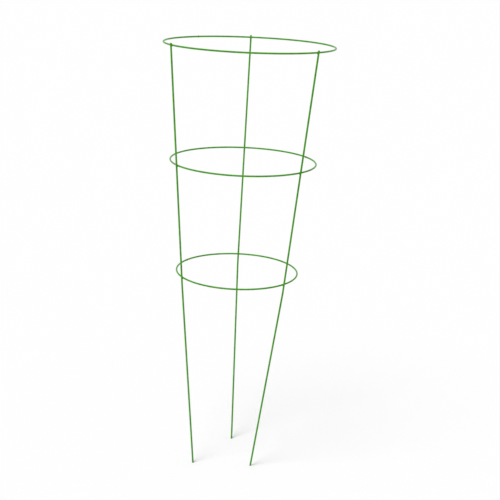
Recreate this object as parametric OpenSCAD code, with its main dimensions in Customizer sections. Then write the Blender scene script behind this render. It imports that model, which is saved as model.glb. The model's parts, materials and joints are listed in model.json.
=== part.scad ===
// Conical wire cage that holds up a tomato plant: three legs welded to the outside of three rings.
// It stands on its three foot ends at z = 0, and the z axis runs through the middle of the top ring.
// Bearings run anticlockwise from +x, seen from above. Lengths are in millimetres.

/* [Wire] */
// Leg wire diameter, over its coat
leg_wire_d = 3.4; // [2.6:0.1:4.6]
// Ring wire diameter, over its coat
ring_wire_d = 3.2; // [2.2:0.1:4]
// Width of the broken edge round each leg's top end
cut_edge = 0.4; // [0.1:0.05:0.8]

/* [Rings] */
// Top ring diameter, between wire centres
top_ring_d = 320; // [270:1:400]
// Lower ring diameter, between wire centres
lower_ring_d = 237; // [190:1:265]
// Height of the lower ring above the foot ends
lower_ring_z = 394; // [300:1:480]
// Step from each ring up to the next
ring_step = 220; // [150:0.5:260]
// How far each ring sits to the +x side of the ring below
ring_rake = 3.5; // [0:0.5:8]

/* [Legs] */
// Bearing of the left leg
left_leg_bearing = 211; // [195:1:235]
// Bearing of the back leg
back_leg_bearing = 90; // [75:1:105]
// Bearing of the right leg
right_leg_bearing = 319; // [305:1:340]
// How far each leg stands above the middle of the top ring's wire
leg_stub = 4; // [3:0.5:20]
// Distance of the left foot from under the middle of the lower ring
left_foot_r = 89; // [70:1:110]
// Distance of the back foot from there
back_foot_r = 65; // [50:1:80]
// Distance of the right foot from there
right_foot_r = 69.5; // [50:0.5:90]
// Angle that the left foot is swept round from its leg's bearing
left_foot_sweep = 4.5; // [2:0.5:10]
// Angle that the back foot is swept round from its leg's bearing
back_foot_sweep = -2; // [-8:0.5:2]
// Angle that the right foot is swept round from its leg's bearing
right_foot_sweep = -10; // [-16:0.5:-6]
// Drop from the lower ring to the start of the bend in each leg
bend_drop = 12; // [8:1:40]
// Radius of that bend, on the middle of the wire
bend_radius = 300; // [100:10:600]
// How much the coat gathers on the bend, across the wire
bend_coat = 0.04; // [0.02:0.01:0.2]

/* [Welds] */
// How far a leg and a ring sink into each other
weld_sink = 0.6; // [0.3:0.05:0.9]
// How far the squeezed-out bead reaches past the contact
weld_flash = 1; // [0.6:0.1:1.6]
// Length of the butt weld that closes each ring
joint_w = 2; // [1:0.1:2.6]
// How far that butt weld swells past the ring wire
joint_swell = 0.5; // [0.4:0.05:0.8]
// Bearing of the top ring's butt weld
top_joint_bearing = 130; // [115:1:185]
// Bearing of the middle ring's butt weld
middle_joint_bearing = 28; // [0:1:65]
// Bearing of the lower ring's butt weld
lower_joint_bearing = 150; // [115:1:185]

/* [Hidden] */
coat_green = "#4b9632";
weld_green = "#3f842b";
wire_fn = 48;
bead_fn = 96;
ring_fn = 256;

// Each leg is [name, bearing, foot distance, foot sweep].
LEGS = [
    ["left", left_leg_bearing, left_foot_r, left_foot_sweep],
    ["back", back_leg_bearing, back_foot_r, back_foot_sweep],
    ["right", right_leg_bearing, right_foot_r, right_foot_sweep],
];
// Each ring is [name, height, bearing of its butt weld].
RINGS = [
    ["top", lower_ring_z + 2 * ring_step, top_joint_bearing],
    ["middle", lower_ring_z + ring_step, middle_joint_bearing],
    ["lower", lower_ring_z, lower_joint_bearing],
];
top_ring_z = RINGS[0][1];

// The ring middles lie on one raked line, and the ring wires on one cone round it.
rake_slope = ring_rake / ring_step;
cone_slope = (top_ring_d - lower_ring_d) / 2 / (top_ring_z - lower_ring_z);
function middle(z) = [(z - top_ring_z) * rake_slope, 0, z];
function cone_r(z) = lower_ring_d / 2 + (z - lower_ring_z) * cone_slope;

// Each leg runs along the cone, one weld's reach outside it.
weld_reach = (leg_wire_d + ring_wire_d) / 2 - weld_sink;
function way_out(bearing) = [cos(bearing), sin(bearing), 0];
function lean(leg) = atan(cone_slope + rake_slope * cos(leg[1]));
function leg_r(leg, z) = cone_r(z) + weld_reach / cos(lean(leg));
function leg_point(leg, z) = middle(z) + leg_r(leg, z) * way_out(leg[1]);

// The bend of each leg: where it starts, the way down, and the way that it turns to its foot.
leg_top_z = top_ring_z + leg_stub;
bend_z = lower_ring_z - bend_drop;
function unit(v) = v / norm(v);
function bend_start(leg) = leg_point(leg, bend_z);
function upper_len(leg) = norm(leg_point(leg, leg_top_z) - bend_start(leg));
function down(leg) = unit(bend_start(leg) - leg_point(leg, leg_top_z));
function foot_end(leg) = [middle(lower_ring_z)[0], 0, 0] + leg[2] * way_out(leg[1] + leg[3]);
function to_foot(leg) = foot_end(leg) - bend_start(leg);
function foot_along(leg) = to_foot(leg) * down(leg);
function foot_aside_v(leg) = to_foot(leg) - foot_along(leg) * down(leg);
function foot_aside(leg) = norm(foot_aside_v(leg));
function turn_way(leg) = unit(foot_aside_v(leg));

// The spike is the straight line from the foot end that touches the bend's circle.
function foot_reach(leg) = norm([foot_along(leg), foot_aside(leg) - bend_radius]);
function spike_len(leg) = sqrt(foot_reach(leg) ^ 2 - bend_radius ^ 2);
function bend_angle(leg) =
    atan2(foot_aside(leg) - bend_radius, foot_along(leg)) + atan2(bend_radius, spike_len(leg));
foot_overrun = leg_wire_d;

// Both straight stretches run this far into the bend, where its coat still covers them.
bend_lap = sqrt(bend_coat * bend_radius) / 2;

// The bead is a ball round the middle of the contact, less the two wires.
leg_wire_r = leg_wire_d / 2;
ring_wire_r = ring_wire_d / 2;
contact_half = sqrt(leg_wire_r ^ 2 - (leg_wire_r - weld_sink) ^ 2);
bead_r = max(contact_half, sqrt(ring_wire_r ^ 2 - (ring_wire_r - weld_sink) ^ 2)) + weld_flash;
contact_in = ring_wire_r - weld_sink / 2;
function contact(ring, leg) = middle(ring[1]) - [0, 0, contact_in * sin(lean(leg))]
    + (cone_r(ring[1]) + contact_in * cos(lean(leg))) * way_out(leg[1]);
bead_ring_steps = 4;
bead_ring_span = bead_ring_steps * 360 / ring_fn;

function leg_node(leg) = str(leg[0], "_leg");
function ring_node(ring) = str(ring[0], "_ring");
function joint_node(ring) = str(ring[0], "_ring_joint");
function weld_node(ring, leg) = str(ring[0], "_", leg[0], "_weld");

// Places a shape at the start of a leg's bend: +z runs down the leg and +x is the way that it turns.
module at_bend(leg) {
    columns = [turn_way(leg), cross(down(leg), turn_way(leg)), down(leg), bend_start(leg)];
    frame = [for (row = [0:2]) [for (column = columns) column[row]]];
    multmatrix(concat(frame, [[0, 0, 0, 1]])) children();
}

// The straight upper stretch of a leg, with the edge broken round its top end.
module upper_stretch(leg) {
    end_z = upper_len(leg) + bend_lap;
    translate([0, 0, -upper_len(leg)]) rotate_extrude($fn = wire_fn)
        polygon([
            [0, 0],
            [leg_wire_r - cut_edge, 0],
            [leg_wire_r, cut_edge],
            [leg_wire_r, end_z],
            [0, end_z],
        ]);
}

module leg_bend(leg) {
    translate([bend_radius, 0, 0]) rotate([-90, 0, 0]) rotate([0, 0, 180])
        rotate_extrude(angle = bend_angle(leg), $fn = ring_fn)
            translate([bend_radius, 0]) circle(d = leg_wire_d + bend_coat, $fn = wire_fn);
}

module spike(leg) {
    angle = bend_angle(leg);
    translate([bend_radius * (1 - cos(angle)), 0, bend_radius * sin(angle)])
        rotate([0, angle, 0]) translate([0, 0, -bend_lap])
            cylinder(h = bend_lap + spike_len(leg) + foot_overrun, d = leg_wire_d, $fn = wire_fn);
}

// One wire from its stub above the top ring to its foot, which is cut level with the ground.
module leg_wire(leg) {
    cut_w = 4 * foot_overrun;
    color(coat_green) difference() {
        at_bend(leg) {
            upper_stretch(leg);
            leg_bend(leg);
            spike(leg);
        }
        translate(foot_end(leg) - [cut_w / 2, cut_w / 2, cut_w]) cube(cut_w);
    }
}

// A stretch of ring with the given 2D section, from one bearing through a span.
module ring_sweep(ring, bearing, span) {
    translate(middle(ring[1])) rotate([0, 0, bearing])
        rotate_extrude(angle = span, $fn = ring_fn)
            translate([cone_r(ring[1]), 0]) children();
}

function joint_span(ring) = joint_w / cone_r(ring[1]) * 180 / PI;

// One wire bent round to its own start, open at its butt weld and dented by each leg.
module ring_wire(ring) {
    open_span = joint_span(ring);
    color(coat_green) difference() {
        ring_sweep(ring, ring[2] + open_span / 2, 360 - open_span)
            circle(d = ring_wire_d, $fn = wire_fn);
        for (leg = LEGS) at_bend(leg) upper_stretch(leg);
    }
}

// The swollen metal between a ring's two ends.
module ring_joint(ring) {
    swollen_d = ring_wire_d + 2 * joint_swell;
    color(weld_green) intersection() {
        translate(middle(ring[1])) rotate([0, 0, ring[2]]) translate([cone_r(ring[1]), 0, 0])
            sphere(d = swollen_d, $fn = bead_fn);
        ring_sweep(ring, ring[2] - joint_span(ring) / 2, joint_span(ring))
            square(2 * swollen_d, center = true);
    }
}

// The bead squeezed out round the crossing of a ring and a leg.
module cross_weld(ring, leg) {
    color(weld_green) difference() {
        translate(contact(ring, leg)) sphere(r = bead_r, $fn = bead_fn);
        at_bend(leg) upper_stretch(leg);
        ring_sweep(ring, leg[1] - bead_ring_span / 2, bead_ring_span)
            circle(d = ring_wire_d, $fn = bead_fn);
    }
}

for (leg = LEGS)
    leg_wire(leg);
for (ring = RINGS) {
    ring_wire(ring);
    ring_joint(ring);
    for (leg = LEGS)
        cross_weld(ring, leg);
}
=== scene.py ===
# %% [markdown]
# # A wire tomato cage
# The real cage is six steel wires, three legs and three rings, welded where they cross and coated
# green. It could be drawn here from nothing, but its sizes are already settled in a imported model. So the
# lesson loads that model as a frame, measures it, and makes every piece from what was measured.

# %% Load the frame
import json
import math
from collections import namedtuple

import bmesh
import bpy
from mathutils import Matrix, Vector, geometry, noise


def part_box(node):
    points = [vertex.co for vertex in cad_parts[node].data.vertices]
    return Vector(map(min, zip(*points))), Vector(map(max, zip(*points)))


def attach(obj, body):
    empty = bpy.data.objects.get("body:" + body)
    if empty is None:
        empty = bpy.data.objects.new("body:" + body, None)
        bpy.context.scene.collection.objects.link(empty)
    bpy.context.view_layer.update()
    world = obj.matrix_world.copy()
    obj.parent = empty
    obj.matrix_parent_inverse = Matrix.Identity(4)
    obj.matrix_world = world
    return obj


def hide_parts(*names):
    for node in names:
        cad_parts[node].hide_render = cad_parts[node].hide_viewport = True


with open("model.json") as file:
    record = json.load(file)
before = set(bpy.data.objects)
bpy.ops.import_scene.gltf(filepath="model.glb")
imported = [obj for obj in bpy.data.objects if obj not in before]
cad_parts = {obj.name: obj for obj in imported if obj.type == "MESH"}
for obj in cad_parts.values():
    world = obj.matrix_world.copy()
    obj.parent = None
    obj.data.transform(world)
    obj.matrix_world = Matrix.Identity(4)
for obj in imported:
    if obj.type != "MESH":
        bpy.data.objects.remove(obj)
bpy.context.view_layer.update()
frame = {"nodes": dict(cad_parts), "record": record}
MM = 0.001
RINGS = ("top", "middle", "lower")
LEGS = ("left", "back", "right")


print("nodes in the frame:", len(frame["nodes"]))

# %% [markdown]
# A ring is one wire bent round until its ends meet, where they are welded butt to butt. The ring's box
# in the frame tells its sizes: the height of the box is the thickness of the wire, and its width is the
# width of the ring. The back leg dents the far side of each ring, so the middle is measured from the
# near side. The box of the butt weld tells at which bearing the ring closes. A named tuple keeps these
# few numbers together, which reads better later than a row of loose variables.

# %% Measure the rings
Ring = namedtuple("Ring", "middle radius wire_r joint_bearing")


def box_middle(node):
    low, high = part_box(node)
    return (low + high) / 2


def measure_ring(name):
    low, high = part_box(name + "_ring")
    wire_r = (high.z - low.z) / 2
    outer_r = (high.x - low.x) / 2
    middle = Vector((low.x + outer_r, low.y + outer_r, low.z + wire_r))
    joint = box_middle(name + "_ring_joint") - middle
    return Ring(middle, outer_r - wire_r, wire_r, math.atan2(joint.y, joint.x))


rings = {name: measure_ring(name) for name in RINGS}
for name, ring in rings.items():
    print(f"{name} ring: radius {ring.radius / MM:.1f} mm at height {ring.middle.z / MM:.1f} mm")

# %% [markdown]
# A leg is one wire with a slight bend under the lower ring. The frame's record has a mount for each
# spike, the straight part under the bend, with its foot, its direction and its length. The straight
# part above the bend is parallel to the line through two of the leg's welds, and the frame's own leg
# shows where that part ends at the top. The two straight lines meet in a corner, and an arc that touches
# both of them, as far from the corner on one line as on the other, is the bend.

# %% Measure the legs
Leg = namedtuple("Leg", "top down bend_start bend_middle bend_axis bend_angle foot spike_way wire_r")
END_SLACK = 0.05 * MM
mounts = {mount["name"]: mount for mount in frame["record"]["mounts"]}


def end_middle(node, way):
    """The middle of the end face that lies furthest against a direction."""
    points = [vertex.co for vertex in frame["nodes"][node].data.vertices]
    reach = min(point.dot(way) for point in points)
    face = [point for point in points if point.dot(way) < reach + END_SLACK]
    return (Vector(map(min, *face)) + Vector(map(max, *face))) / 2


def measure_leg(name):
    spike = mounts[name + "_spike"]
    foot = Vector(spike["pos_m"])
    spike_way = Vector(spike["axis"]).normalized()
    spike_top = foot - spike_way * spike["dims"]["length_mm"] * MM
    down = (box_middle(f"lower_{name}_weld") - box_middle(f"top_{name}_weld")).normalized()
    top = end_middle(name + "_leg", down)
    corner = geometry.intersect_line_line(top, top + down, foot, foot - spike_way)[0]
    tangent = (corner - spike_top).length
    bend_start = corner - down * tangent
    bend_angle = down.angle(spike_way)
    bend_axis = down.cross(spike_way).normalized()
    bend_middle = bend_start + bend_axis.cross(down) * tangent / math.tan(bend_angle / 2)
    wire_r = spike["dims"]["r_mm"] * MM
    return Leg(top, down, bend_start, bend_middle, bend_axis, bend_angle, foot, spike_way, wire_r)


legs = {name: measure_leg(name) for name in LEGS}
for name, leg in legs.items():
    bend = math.degrees(leg.bend_angle)
    print(f"{name} leg: top at {leg.top.z / MM:.1f} mm, bend of {bend:.2f} degrees")

# %% [markdown]
# The finishes are made from nodes, and node trees are slow to read when every link is a line of code.
# This small class wraps a socket, so that `1 - mask` or `0.3 + 0.2 * cloud` adds the Math nodes by
# itself.

# %% A socket that does sums
class Field:
    """A number that changes over a surface."""

    def __init__(self, tree, socket):
        self.tree = tree
        self.socket = socket

    def math(self, operation, first, second):
        return self.tree.node("ShaderNodeMath", {"operation": operation}, {0: first, 1: second})

    def __add__(self, other):
        return self.math("ADD", self, other)

    def __radd__(self, other):
        return self.math("ADD", other, self)

    def __sub__(self, other):
        return self.math("SUBTRACT", self, other)

    def __rsub__(self, other):
        return self.math("SUBTRACT", other, self)

    def __mul__(self, other):
        return self.math("MULTIPLY", self, other)

    def __rmul__(self, other):
        return self.math("MULTIPLY", other, self)

    def between(self, low, high):
        """0 below low, 1 above high, and a smooth step from one to the other."""
        sockets = {"Value": self, "From Min": low, "From Max": high}
        return self.tree.node("ShaderNodeMapRange", {"interpolation_type": "SMOOTHSTEP"}, sockets)


print("a field can be added, subtracted, multiplied and stepped")

# %% [markdown]
# A second class wraps a whole node tree. One method makes any node: it takes the type, then the settings,
# which are set first because they can change the sockets, and then the values or links of its sockets.
# The two nodes that every finish here needs, noise and a mix of colours, have short names of their own.

# %% A tree that takes any node
class Tree:
    """The node tree of a material or of the world."""

    def __init__(self, owner):
        owner.use_nodes = True
        self.nodes = owner.node_tree.nodes
        self.links = owner.node_tree.links

    def find(self, sockets, key):
        if isinstance(key, int):
            return sockets[key]
        return next(socket for socket in sockets if key in (socket.identifier, socket.name))

    def feed(self, socket, value):
        if isinstance(value, Field):
            self.links.new(value.socket, socket)
        else:
            socket.default_value = value

    def node(self, kind, settings, sockets, output=0):
        node = self.nodes.new(kind)
        for key, value in settings.items():
            setattr(node, key, value)
        for key, value in sockets.items():
            self.feed(self.find(node.inputs, key), value)
        return Field(self, self.find(node.outputs, output))

    def cloud(self, place, size, detail=2.0):
        """Soft noise from 0 to 1, with patches of about the given size."""
        sockets = {"Vector": place, "Scale": 1 / size, "Detail": detail}
        return self.node("ShaderNodeTexNoise", {}, sockets, "Fac")

    def mix(self, share, first, second):
        sockets = {"Factor_Float": share, "A_Color": first, "B_Color": second}
        return self.node("ShaderNodeMix", {"data_type": "RGBA"}, sockets, "Result_Color")


print("a tree can add any node, noise and mixed colours")

# %% [markdown]
# The coat is a baked green paint. On the real wire it is a little darker where it is thick, and darkest
# where it gathers round a weld. Painted image maps could hold this, but they need an unwrapped mesh, and
# noise in object coordinates needs nothing: the pieces keep the frame's own coordinates, so a patch
# runs on from one piece to the next. Where the paint gathers is known when a weld is made, so each weld
# will carry it as an attribute of its points. A piece without that attribute reads as 0 there.

# %% The green paint
COAT_THIN = (0.070, 0.355, 0.001, 1.0)
COAT_THICK = (0.043, 0.250, 0.001, 1.0)
COAT_GATHERED = (0.030, 0.205, 0.001, 1.0)
GATHERED = "gathered_paint"
PATCH = 9 * MM
PATCH_SHARE = 0.75
THICK_BAND = (0.3, 0.7)


def green_paint(tree, place, speck):
    """Paint that is thin or thick in patches, with some specks, and gathered where a weld says so."""
    gathered = tree.node("ShaderNodeAttribute", {"attribute_name": GATHERED}, {}, "Fac")
    patch = tree.cloud(place, PATCH)
    thick = (PATCH_SHARE * patch + (1 - PATCH_SHARE) * speck).between(*THICK_BAND)
    return tree.mix(gathered, tree.mix(thick, COAT_THIN, COAT_THICK), COAT_GATHERED)


print(f"paint has patches of about {PATCH / MM:.0f} mm")

# %% [markdown]
# A leg that is pushed into stony soil, or stood on a hard floor, loses its paint first at the very
# foot, where the steel shows and rusts. A mesh could be cut for each chip, but a mask is lighter, and
# its edge is as ragged as noise is. Height makes the mask fade upwards, and noise breaks it up. Object
# coordinates help here too, because a height in the material is a height on the cage.

# %% The chips at the foot
STEEL_CLEAN = (0.16, 0.15, 0.135, 1.0)
STEEL_RUSTY = (0.075, 0.045, 0.028, 1.0)
CHIP = 1.6 * MM
CHIP_HEIGHT = 7 * MM
CHIP_BAND = (1.38, 1.42)
CHIP_RUST_BAND = (0.35, 0.65)


def chip_mask(tree, place):
    """1 where the paint is off and 0 where it is on."""
    height = tree.node("ShaderNodeSeparateXYZ", {}, {"Vector": place}, "Z")
    low_down = 1 - height.between(0, CHIP_HEIGHT)
    return (low_down + tree.cloud(place, CHIP)).between(*CHIP_BAND)


def chip_steel(tree, speck):
    return tree.mix(speck.between(*CHIP_RUST_BAND), STEEL_CLEAN, STEEL_RUSTY)


print(f"chips stay under {CHIP_HEIGHT / MM:.0f} mm from the ground")

# %% [markdown]
# The paint has a satin shine, with specks that are a little duller or shinier than the rest, and the
# fine dimples that are called orange peel. Modelled dimples would take millions of faces, so a bump
# node bends the light instead, as if they were a hundredth of a millimetre deep, or two on a weld. The
# specular level is low, because a wire as thin as this would mirror white from all round and look
# washed out. One function brings paint, chips and shine together. It is called three times, because
# legs, rings and welds come out of the oven with a slightly different shine.

# %% The three coats
COAT_SPECULAR = 0.10
SPECK = 1.1 * MM
PEEL = 0.6 * MM
SHINE_SPREAD = 0.12
NOISE_MIDDLE = 0.5
CHIP_PEELS_DEEP = 4
CHIP_METAL = 0.7
CHIP_DULLER = 0.1


def surface_of(material):
    return material.node_tree.nodes["Principled BSDF"].inputs


def coat(name, roughness, peel_depth):
    material = bpy.data.materials.new(name)
    tree = Tree(material)
    place = tree.node("ShaderNodeTexCoord", {}, {}, "Object")
    speck = tree.cloud(place, SPECK)
    chipped = chip_mask(tree, place)
    colour = tree.mix(chipped, green_paint(tree, place, speck), chip_steel(tree, speck))
    dullness = roughness + SHINE_SPREAD * (speck - NOISE_MIDDLE) + CHIP_DULLER * chipped
    dimples = tree.cloud(place, PEEL) + speck - CHIP_PEELS_DEEP * chipped
    surface = surface_of(material)
    tree.feed(surface["Base Color"], colour)
    tree.feed(surface["Metallic"], CHIP_METAL * chipped)
    tree.feed(surface["Roughness"], dullness)
    bump = tree.node("ShaderNodeBump", {}, {"Distance": peel_depth, "Height": dimples})
    tree.feed(surface["Normal"], bump)
    surface["Specular IOR Level"].default_value = COAT_SPECULAR
    return material


leg_coat = coat("green_leg_coat", roughness=0.30, peel_depth=0.01 * MM)
ring_coat = coat("green_ring_coat", roughness=0.28, peel_depth=0.01 * MM)
weld_coat = coat("green_weld_coat", roughness=0.34, peel_depth=0.02 * MM)
print("coats:", leg_coat.name, ring_coat.name, weld_coat.name)

# %% [markdown]
# The wires are sheared to length, and each cut end shows a disc of bare steel inside a thin rim of coat.
# A sheared face is half bright and half torn, and it rusts first. A metallic surface with noise that is
# squeezed into streaks does for that, and it goes on a face of its own, so the mesh decides where the
# steel begins.

# %% The cut steel
TEAR = 0.4 * MM
TEAR_DETAIL = 3.0
TEAR_DEPTH = 0.04 * MM
TEAR_SQUEEZE = (1.0, 4.0, 1.0)
CUT_RUST_BAND = (0.45, 0.65)
CUT_RUST = 0.8
CUT_DULLNESS = 0.34
TEAR_DULLER = 0.2
RUST_DULLER = 0.2
RUST_METAL_LOSS = 0.6


def cut_steel(name):
    material = bpy.data.materials.new(name)
    tree = Tree(material)
    place = tree.node("ShaderNodeTexCoord", {}, {}, "Object")
    squeezed = tree.node("ShaderNodeMapping", {}, {"Vector": place, "Scale": TEAR_SQUEEZE})
    tear = tree.cloud(squeezed, TEAR, TEAR_DETAIL)
    rust = tree.cloud(place, CHIP).between(*CUT_RUST_BAND)
    surface = surface_of(material)
    tree.feed(surface["Base Color"], tree.mix(CUT_RUST * rust, STEEL_CLEAN, STEEL_RUSTY))
    tree.feed(surface["Metallic"], 1 - RUST_METAL_LOSS * rust)
    tree.feed(surface["Roughness"], CUT_DULLNESS + TEAR_DULLER * tear + RUST_DULLER * rust)
    bump = tree.node("ShaderNodeBump", {}, {"Distance": TEAR_DEPTH, "Height": tear})
    tree.feed(surface["Normal"], bump)
    return material


cut_end = cut_steel("sheared_steel")
print("steel:", cut_end.name)

# %% [markdown]
# Every piece ends the same way: doubled points are merged, the faces are turned to point outwards, the
# mesh becomes an object named after the frame's node, the object is told which body it rides on, and that
# node of the frame is hidden. One function does this for all of them. Edges sharper than a set angle stay
# sharp, and the rest are shaded smooth.

# %% Functions that finish a piece
SHARP = math.radians(40)
MERGE_UNDER = 0.001 * MM


def make_object(name, shape, *materials):
    """Turns a bmesh into an object of the scene."""
    mesh = bpy.data.meshes.new(name)
    shape.to_mesh(mesh)
    shape.free()
    for material in materials:
        mesh.materials.append(material)
    made = bpy.data.objects.new(name, mesh)
    bpy.context.scene.collection.objects.link(made)
    return made


def finish_piece(node, shape, slot, *materials):
    bmesh.ops.remove_doubles(shape, verts=shape.verts[:], dist=MERGE_UNDER)
    bmesh.ops.recalc_face_normals(shape, faces=shape.faces[:])
    for face in shape.faces:
        face.smooth = True
    piece = make_object(node + "_piece", shape, *materials)
    piece.data.set_sharp_from_angle(angle=SHARP)
    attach(piece, "root")
    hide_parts(node)
    print(f"{piece.name}: {len(piece.data.polygons)} faces")


print(f"edges stay sharp over {math.degrees(SHARP):.0f} degrees")

# %% [markdown]
# Both ends of a leg are sheared, and neither rim is left quite sharp. The top one is the rounder,
# because the foot is made to push into soil. A Bevel modifier could round them, but it picks edges by
# their angle and can't set the bare steel apart. So one function bevels just the rim of an end face,
# and insets a smaller disc in what is left of that face for the steel.

# %% The two ends of a leg
COAT_DEPTH = 0.22 * MM
TOP_EDGE = 0.4 * MM
FOOT_EDGE = 0.15 * MM
EDGE_SEGMENTS = 4
STEEL_SLOT = 1


def finish_end(shape, face, edge_width):
    """Rounds the rim of an end face and leaves a disc of bare steel in the middle of it."""
    middle = face.calc_center_median()
    bmesh.ops.bevel(
        shape, geom=face.edges[:], offset=edge_width, segments=EDGE_SEGMENTS, profile=0.5,
        affect="EDGES", material=-1,
    )
    disc = min(shape.faces, key=lambda item: (item.calc_center_median() - middle).length)
    bmesh.ops.inset_region(shape, faces=[disc], thickness=COAT_DEPTH, use_even_offset=True)
    disc.material_index = STEEL_SLOT


for name, leg in legs.items():
    discs = [2 * (leg.wire_r - edge - COAT_DEPTH) / MM for edge in (TOP_EDGE, FOOT_EDGE)]
    print(f"{name} leg: steel discs of {discs[0]:.2f} mm at the top and {discs[1]:.2f} mm at the foot")

# %% [markdown]
# A leg starts as a disc, the section of the wire at its top end. The rim of the disc is extruded down
# to the bend, spun round the middle of the bend, and extruded again to past the foot, just as the wire
# comes straight from the coil and is bent once. A curve with a round bevel would be quicker, but its
# ends are harder to work on. Here the foot is cut off level with the ground by bisecting the mesh, the
# hole is filled, and then both ends are finished.

# %% The legs
WIRE_SIDES = 48
BEND_STEPS = 12


def edges_of(geom):
    return [item for item in geom if isinstance(item, bmesh.types.BMEdge)]


def verts_of(geom):
    return [item for item in geom if isinstance(item, bmesh.types.BMVert)]


def draw_out(shape, rim, way):
    """Extrudes an open rim and returns the new rim."""
    made = bmesh.ops.extrude_edge_only(shape, edges=rim)["geom"]
    bmesh.ops.translate(shape, verts=verts_of(made), vec=way)
    return [edge for edge in edges_of(made) if edge.is_boundary]


def leg_wire(leg):
    shape = bmesh.new()
    section = Matrix.Translation(leg.top) @ leg.down.to_track_quat("Z", "Y").to_matrix().to_4x4()
    bmesh.ops.create_circle(
        shape, cap_ends=True, segments=WIRE_SIDES, radius=leg.wire_r, matrix=section,
    )
    top_face = shape.faces[:][0]
    rim = draw_out(shape, shape.edges[:], leg.bend_start - leg.top)
    bend = bmesh.ops.spin(
        shape, geom=rim, cent=leg.bend_middle, axis=leg.bend_axis, angle=leg.bend_angle,
        steps=BEND_STEPS, use_merge=False,
    )
    bend_end = sum((vert.co for vert in verts_of(bend["geom_last"])), Vector()) / WIRE_SIDES
    overrun = leg.spike_way * 2 * leg.wire_r
    draw_out(shape, edges_of(bend["geom_last"]), leg.foot - bend_end + overrun)
    cut = bmesh.ops.bisect_plane(
        shape, geom=shape.verts[:] + shape.edges[:] + shape.faces[:],
        plane_co=leg.foot, plane_no=(0, 0, -1), clear_outer=True,
    )
    foot_face = bmesh.ops.holes_fill(shape, edges=edges_of(cut["geom_cut"]), sides=0)["faces"][0]
    finish_end(shape, foot_face, FOOT_EDGE)
    finish_end(shape, top_face, TOP_EDGE)
    return shape


for name, leg in legs.items():
    finish_piece(name + "_leg", leg_wire(leg), "leg_coat", leg_coat, cut_end)

# %% [markdown]
# A ring is the same section, spun almost all the way round the middle of the ring. It stays open by the
# length of its butt weld, as the real wire's two ends do before they are joined. A torus would be one
# line, but it has no ends, and its seam would lie anywhere.

# %% The rings
RING_STEPS = 360
BUTT_LENGTH = 2 * MM
UPRIGHT = Matrix.Rotation(math.radians(90), 4, "X")


def ring_stretch(ring, start, span, steps):
    """A closed length of ring wire from one bearing through an angle."""
    shape = bmesh.new()
    section = (
        Matrix.Translation(ring.middle) @ Matrix.Rotation(start, 4, "Z")
        @ Matrix.Translation((ring.radius, 0, 0)) @ UPRIGHT
    )
    bmesh.ops.create_circle(shape, segments=WIRE_SIDES, radius=ring.wire_r, matrix=section)
    bmesh.ops.spin(
        shape, geom=shape.verts[:] + shape.edges[:], cent=ring.middle, axis=(0, 0, 1),
        angle=span, steps=steps, use_merge=False,
    )
    bmesh.ops.holes_fill(shape, edges=[edge for edge in shape.edges if edge.is_boundary], sides=0)
    return shape


for name, ring in rings.items():
    gap = BUTT_LENGTH / ring.radius
    wire = ring_stretch(ring, ring.joint_bearing + gap / 2, 2 * math.pi - gap, RING_STEPS)
    finish_piece(name + "_ring", wire, "ring_coat", ring_coat)

# %% [markdown]
# When the two ends of a ring are welded, they are pressed together hot and a collar of metal swells
# out. It is a short stretch of the same wire, a little longer than the gap, whose points are pushed away
# from the wire's centre line: most in the middle, not at all at the ends, and with some noise for the
# lumps. Noise from mathutils depends only on the place, so the weld comes out the same at every run.

# %% The butt welds
BUTT_LAP = 1.1 * MM
BUTT_STEPS = 28
BUTT_SWELL = 0.46 * MM
BUTT_SINK = 0.03 * MM
BUTT_GATHER = 0.5
LUMP = 0.12 * MM
LUMP_SIZE = 0.9 * MM


def lump_at(point):
    return LUMP * noise.noise(point / LUMP_SIZE)


def butt_weld(ring):
    half_span = (BUTT_LENGTH / 2 + BUTT_LAP) / ring.radius
    shape = ring_stretch(ring, ring.joint_bearing - half_span, 2 * half_span, BUTT_STEPS)
    gathered = shape.verts.layers.float.new(GATHERED)
    for vert in shape.verts:
        spoke = vert.co - ring.middle
        bearing = math.atan2(spoke.y, spoke.x)
        centre = ring.middle + Vector((math.cos(bearing), math.sin(bearing), 0)) * ring.radius
        aside = math.remainder(bearing - ring.joint_bearing, 2 * math.pi) / half_span
        rise = math.cos(aside * math.pi / 2) ** 2
        swell = rise * (BUTT_SWELL + lump_at(vert.co)) - BUTT_SINK
        vert.co += (vert.co - centre).normalized() * swell
        vert[gathered] = BUTT_GATHER * rise
    return shape


for name, ring in rings.items():
    finish_piece(name + "_ring_joint", butt_weld(ring), "weld_coat", weld_coat)

# %% [markdown]
# Where a leg crosses a ring, the two wires are squeezed together by electrodes and melt into each other.
# What shows is a fillet in the four corners of the crossing, under gathered paint. Boolean union gives
# no fillet, and a remesh loses the round wires. So the weld will follow a smooth union of the two wires,
# which is the distance to the nearer wire, less a little where both are about as near. At the top ring
# the leg ends close above the weld, and the union stays a little below that end.

# %% Distances to the two wires
WELD_BLEND = 2.2 * MM
END_CLEAR = 0.5 * MM


def crossing(ring, leg):
    """The point between the centre lines of a ring and a leg."""
    on_leg = leg.top + leg.down * ((ring.middle.z - leg.top.z) / leg.down.z)
    on_ring = ring.middle + (on_leg - ring.middle).normalized() * ring.radius
    return on_ring.lerp(on_leg, ring.wire_r / (ring.wire_r + leg.wire_r))


def wire_gaps(point, ring, leg):
    """The distances from a point to the leg's wire and to the ring's wire, less than 0 inside one."""
    from_top = point - leg.top
    past_end = END_CLEAR - from_top.dot(leg.down)
    to_leg = max(from_top.cross(leg.down).length - leg.wire_r, past_end)
    spoke = point - ring.middle
    to_ring = math.hypot(math.hypot(spoke.x, spoke.y) - ring.radius, spoke.z) - ring.wire_r
    return to_leg, to_ring


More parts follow.
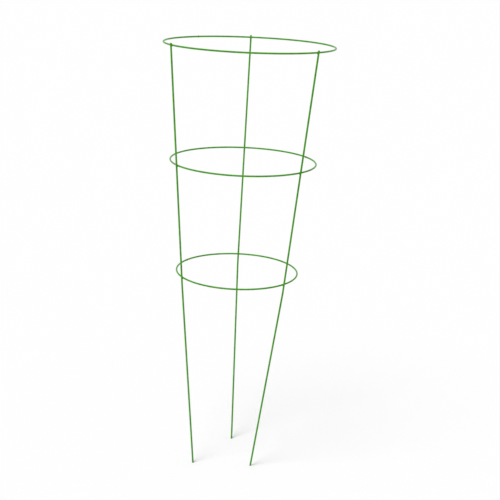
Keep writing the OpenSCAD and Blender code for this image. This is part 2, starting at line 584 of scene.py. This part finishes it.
def smooth_union(to_leg, to_ring):
    """The distance to the two wires, with a fillet that runs into both without a crease."""
    share = max(WELD_BLEND - abs(to_leg - to_ring), 0) / WELD_BLEND
    return min(to_leg, to_ring) - share * share * WELD_BLEND / 4


for name, ring in rings.items():
    depths = [-max(wire_gaps(crossing(ring, leg), ring, leg)) / MM for leg in legs.values()]
    print(f"{name} ring: contacts lie {min(depths):.2f} mm or more inside both wires")

# %% [markdown]
# Each weld starts as a ball round the contact, and every point of it moves along its own ray until it
# lies a thin and lumpy skin above the smooth union. The place on the ray is found by halving, which
# needs no formula for where a ray leaves the weld. Far from the contact the skin dips under the wires,
# so it has no visible edge. How deep each point lies over the wires is kept for the coat, as its share
# of gathered paint.

# %% The cross welds
WELD_REACH = 4.2 * MM
WELD_SKIN = 0.10 * MM
SKIN_FADE = 1.7
FULL_GATHER = 0.5 * MM
BALL_DIVISIONS = 5
HALVINGS = 18


def skin_reach(contact, ray, ring, leg):
    """How far from the contact a ray leaves the weld."""
    near = 0.0
    far = WELD_REACH
    for _ in range(HALVINGS):
        half = (near + far) / 2
        point = contact + ray * half
        fade = 1 - SKIN_FADE * (half / WELD_REACH) ** 2
        skin = fade * (WELD_SKIN + max(fade, 0) * lump_at(point))
        if smooth_union(*wire_gaps(point, ring, leg)) < skin:
            near = half
        else:
            far = half
    return near


def cross_weld(ring, leg):
    contact = crossing(ring, leg)
    shape = bmesh.new()
    bmesh.ops.create_icosphere(shape, subdivisions=BALL_DIVISIONS, radius=1.0)
    gathered = shape.verts.layers.float.new(GATHERED)
    for vert in shape.verts:
        ray = vert.co.normalized()
        vert.co = contact + ray * skin_reach(contact, ray, ring, leg)
        depth = min(wire_gaps(vert.co, ring, leg))
        vert[gathered] = min(max(depth / FULL_GATHER, 0), 1)
    return shape


for ring_name, ring in rings.items():
    for leg_name, leg in legs.items():
        weld = cross_weld(ring, leg)
        finish_piece(f"{ring_name}_{leg_name}_weld", weld, "weld_coat", weld_coat)

# %% [markdown]
# The cage stands on a plain white floor. A big flat grid just under the feet is enough.

# %% The floor
FLOOR_SIZE = 60.0
FLOOR_DROP = 0.2 * MM
FLOOR_WHITE = (0.99, 0.99, 0.99, 1.0)
white = bpy.data.materials.new("floor_white")
white.use_nodes = True
surface_of(white)["Base Color"].default_value = FLOOR_WHITE
surface_of(white)["Roughness"].default_value = 1.0
surface_of(white)["Specular IOR Level"].default_value = 0.0
flat = bmesh.new()
bmesh.ops.create_grid(flat, size=FLOOR_SIZE / 2, matrix=Matrix.Translation((0, 0, -FLOOR_DROP)))
floor = make_object("floor", flat, white)
print("floor:", FLOOR_SIZE, "m wide")

# %% [markdown]
# The light is that of a white studio: an even white sky all round, and one broad lamp from the upper
# left. Sky and lamp together light the floor at a strength of about 1, at which a colour renders as it
# is written. Rays from the camera and from reflections see the sky at full white.

# %% The light
SKY = 0.45
LAMP = 2.01
LAMP_SPREAD = math.radians(25)
LAMP_TILT = math.radians(30)
LAMP_BEARING = math.radians(-40)
world = bpy.data.worlds.new("white_studio")
bpy.context.scene.world = world
sky = Tree(world)
rays = ("Is Camera Ray", "Is Glossy Ray", "Is Transmission Ray")
camera_ray, glossy_ray, clear_ray = [sky.node("ShaderNodeLightPath", {}, {}, ray) for ray in rays]
background = world.node_tree.nodes["Background"].inputs
background["Color"].default_value = (1.0, 1.0, 1.0, 1.0)
sky.feed(background["Strength"], SKY + (1 - SKY) * (camera_ray + glossy_ray + clear_ray))
lamp = bpy.data.lights.new("broad_lamp", "SUN")
lamp.energy = LAMP
lamp.angle = LAMP_SPREAD
lamp_object = bpy.data.objects.new("broad_lamp", lamp)
lamp_object.rotation_euler = (LAMP_TILT, 0, LAMP_BEARING)
bpy.context.scene.collection.objects.link(lamp_object)
bpy.context.scene.view_settings.view_transform = "Standard"
print("floor light:", round(SKY + LAMP * math.cos(LAMP_TILT) / math.pi, 3))

# %% [markdown]
# The camera stands two metres in front of the cage, a little higher than its top, and looks down at it.
# Its place and turn were worked out from where the wires lie in the picture. The turn is written as three
# angles, one after the other: to the left, up, and over to one side.

# %% The camera
CAMERA_PLACE = Vector((0.0193, -2.0015, 1.0119))
CAMERA_LEFT = math.radians(0.063)
CAMERA_UP = math.radians(-16.016)
CAMERA_OVER = math.radians(-2.521)
LENS_MM = 76.54
SENSOR_MM = 36.0
camera_data = bpy.data.cameras.new("camera")
camera_data.lens = LENS_MM
camera_data.sensor_width = SENSOR_MM
camera = bpy.data.objects.new("camera", camera_data)
turn = (
    Matrix.Rotation(CAMERA_LEFT, 4, "Z") @ Matrix.Rotation(CAMERA_UP, 4, "X")
    @ Matrix.Rotation(CAMERA_OVER, 4, "Y") @ UPRIGHT
)
camera.matrix_world = Matrix.Translation(CAMERA_PLACE) @ turn
bpy.context.scene.collection.objects.link(camera)
bpy.context.scene.camera = camera
print("camera at", [round(x, 3) for x in camera.location])
